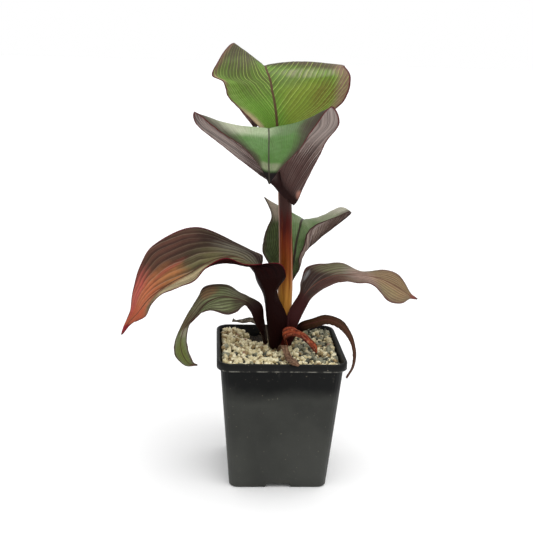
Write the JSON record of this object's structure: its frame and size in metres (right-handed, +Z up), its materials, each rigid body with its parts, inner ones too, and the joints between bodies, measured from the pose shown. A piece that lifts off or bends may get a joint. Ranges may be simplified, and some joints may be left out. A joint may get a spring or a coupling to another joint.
{
  "type": "potted young red abyssinian banana plant",
  "caption": "Young red-leaved banana plant with a short leaning pseudostem and broad arching leaves, standing in a square black nursery pot topped with gravel",
  "frame": {"origin": "Middle of the pot's flat underside, on the floor", "axes": "+Z up; the plant's front faces -Y, with its large left leaf towards -X"},
  "size_m": [0.2595, 0.178, 0.381],
  "materials": {
    "pot_plastic": "satin black polypropylene",
    "grit": "loose pumice and granite chips",
    "stem_sheath": "smooth fibrous leaf sheaths",
    "leaf_green": "waxy leaf, green shading to purple-brown",
    "dry_leaf": "dry withered leaf"
  },
  "bodies": {
    "root": {"pot": "pot_plastic", "gritty_mix": "grit", "pseudostem": "stem_sheath", "leaf_upright": "leaf_green", "leaf_front": "leaf_green", "leaf_rear": "leaf_green", "leaf_left_large": "leaf_green", "leaf_left_lower": "leaf_green", "leaf_right_large": "leaf_green", "leaf_right_narrow": "leaf_green", "withered_leaf_right": "dry_leaf", "withered_leaf_front": "dry_leaf", "dead_leaf_rear": "dry_leaf"}
  },
  "joints": []
}
